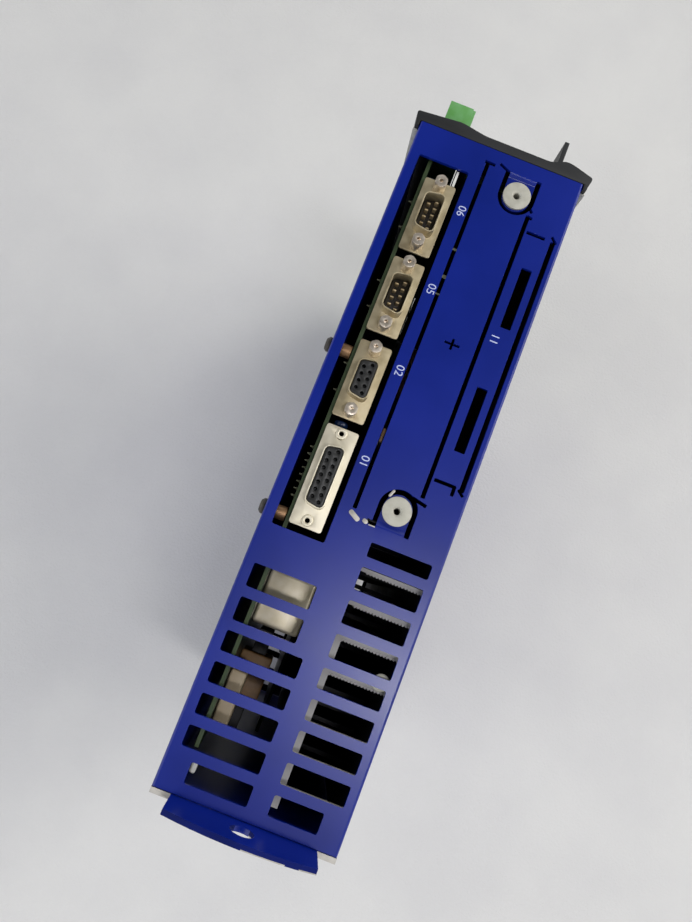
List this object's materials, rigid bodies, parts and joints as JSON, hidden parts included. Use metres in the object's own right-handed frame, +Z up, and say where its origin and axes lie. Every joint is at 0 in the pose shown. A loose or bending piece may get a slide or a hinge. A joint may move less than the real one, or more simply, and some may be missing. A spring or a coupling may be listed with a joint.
{
  "type": "servo drive",
  "caption": "Cabinet-mounted servo drive in a tall, narrow folded-sheet housing, with D-shaped ports and a knock-out option slot on top and plug-in terminals in front.",
  "frame": {"origin": "middle of the back plate's rear face, halfway up and across the housing", "axes": "+X towards the side with the D-shaped ports, which is right when facing the front; +Y out of the rear mounting face, so the front looks along -Y; +Z up, along the housing's height"},
  "size_m": [0.073, 0.289, 0.316],
  "materials": {
    "sheet_enamel": "blue textured powder coat on folded sheet steel, semi-gloss",
    "bezel_plastic": "fine-textured moulded dark grey plastic",
    "display_pane": "smoked dark red pane, polished",
    "key_plastic": "moulded mid grey keys",
    "terminal_plastic": "moulded green polyamide",
    "board_laminate": "glass-epoxy laminate under green solder mask",
    "plated_shell": "tin or yellow-passivated steel shell, warm silver",
    "screw_steel": "bright zinc plated steel",
    "black_plastic": "moulded black plastic",
    "grey_plastic": "moulded or sleeved dark grey plastic",
    "bush_metal": "dull grey-white turned bush",
    "brass": "turned brass",
    "bare_aluminium": "extruded, unfinished",
    "cream_plastic": "cream potting case",
    "coil_tape": "tan insulating tape over windings",
    "ferrite": "sintered dark grey ferrite"
  },
  "bodies": {
    "drive": {"back_plate": "sheet_enamel", "bus_capacitor_1": "grey_plastic", "bus_capacitor_2": "grey_plastic", "bus_capacitor_3": "grey_plastic", "display_module": "black_plastic", "display_window": "display_pane", "fan_frame": "black_plastic", "film_capacitor": "cream_plastic", "filter_block": "cream_plastic", "front_bezel": "bezel_plastic", "heat_sink": "bare_aluminium", "housing_shell": "sheet_enamel", "line_choke": "coil_tape", "lower_side_screw_1": "screw_steel", "lower_side_screw_2": "screw_steel", "lower_standoff_1": "brass", "lower_standoff_2": "brass", "main_board": "board_laminate", "mains_header": "terminal_plastic", "motor_header": "terminal_plastic", "option_bush_front": "bush_metal", "option_bush_rear": "bush_metal", "panel_board": "board_laminate", "port_1_front_post": "screw_steel", "port_1_insulator": "black_plastic", "port_1_rear_post": "screw_steel", "port_1_shell": "plated_shell", "port_2_front_post": "screw_steel", "port_2_insulator": "black_plastic", "port_2_rear_post": "screw_steel", "port_2_shell": "plated_shell", "port_3_front_post": "screw_steel", "port_3_insulator": "grey_plastic", "port_3_rear_post": "screw_steel", "port_3_shell": "plated_shell", "port_4_insulator": "grey_plastic", "port_4_shell": "plated_shell", "power_board": "board_laminate", "power_module": "black_plastic", "relay": "black_plastic", "side_cover": "sheet_enamel", "signal_header": "terminal_plastic", "supply_header": "terminal_plastic", "transformer_coil": "coil_tape", "transformer_core": "ferrite", "upper_side_screw_1": "screw_steel", "upper_side_screw_2": "screw_steel", "upper_standoff_1": "brass", "upper_standoff_2": "brass"},
    "key_up": {"key_up": "key_plastic"},
    "key_down": {"key_down": "key_plastic"},
    "key_enter": {"key_enter": "key_plastic"},
    "signal_plug": {"signal_plug": "terminal_plastic"},
    "supply_plug": {"supply_plug": "terminal_plastic"},
    "mains_plug": {"mains_plug": "terminal_plastic"},
    "motor_plug": {"motor_plug": "terminal_plastic"},
    "fan_rotor": {"fan_rotor": "black_plastic"}
  },
  "joints": [
    {"name": "key_up_press", "type": "slide", "parent": "drive", "child": "key_up", "axis": [0, 1, 0], "range_m": [0, 0.0008], "stiffness_N_per_m": 400},
    {"name": "key_down_press", "type": "slide", "parent": "drive", "child": "key_down", "axis": [0, 1, 0], "range_m": [0, 0.0008], "stiffness_N_per_m": 400},
    {"name": "key_enter_press", "type": "slide", "parent": "drive", "child": "key_enter", "axis": [0, 1, 0], "range_m": [0, 0.0008], "stiffness_N_per_m": 400},
    {"name": "signal_plug_pull", "type": "slide", "parent": "drive", "child": "signal_plug", "axis": [0, -1, 0], "range_m": [0, 0.012]},
    {"name": "supply_plug_pull", "type": "slide", "parent": "drive", "child": "supply_plug", "axis": [0, -1, 0], "range_m": [0, 0.012]},
    {"name": "mains_plug_pull", "type": "slide", "parent": "drive", "child": "mains_plug", "axis": [0, -1, 0], "range_m": [0, 0.012]},
    {"name": "motor_plug_pull", "type": "slide", "parent": "drive", "child": "motor_plug", "axis": [0, -1, 0], "range_m": [0, 0.012]},
    {"name": "fan_spin", "type": "hinge", "parent": "drive", "child": "fan_rotor", "pos_m": [-0.0122, -0.052, -0.122], "axis": [0, 0, 1], "continuous": true}
  ]
}
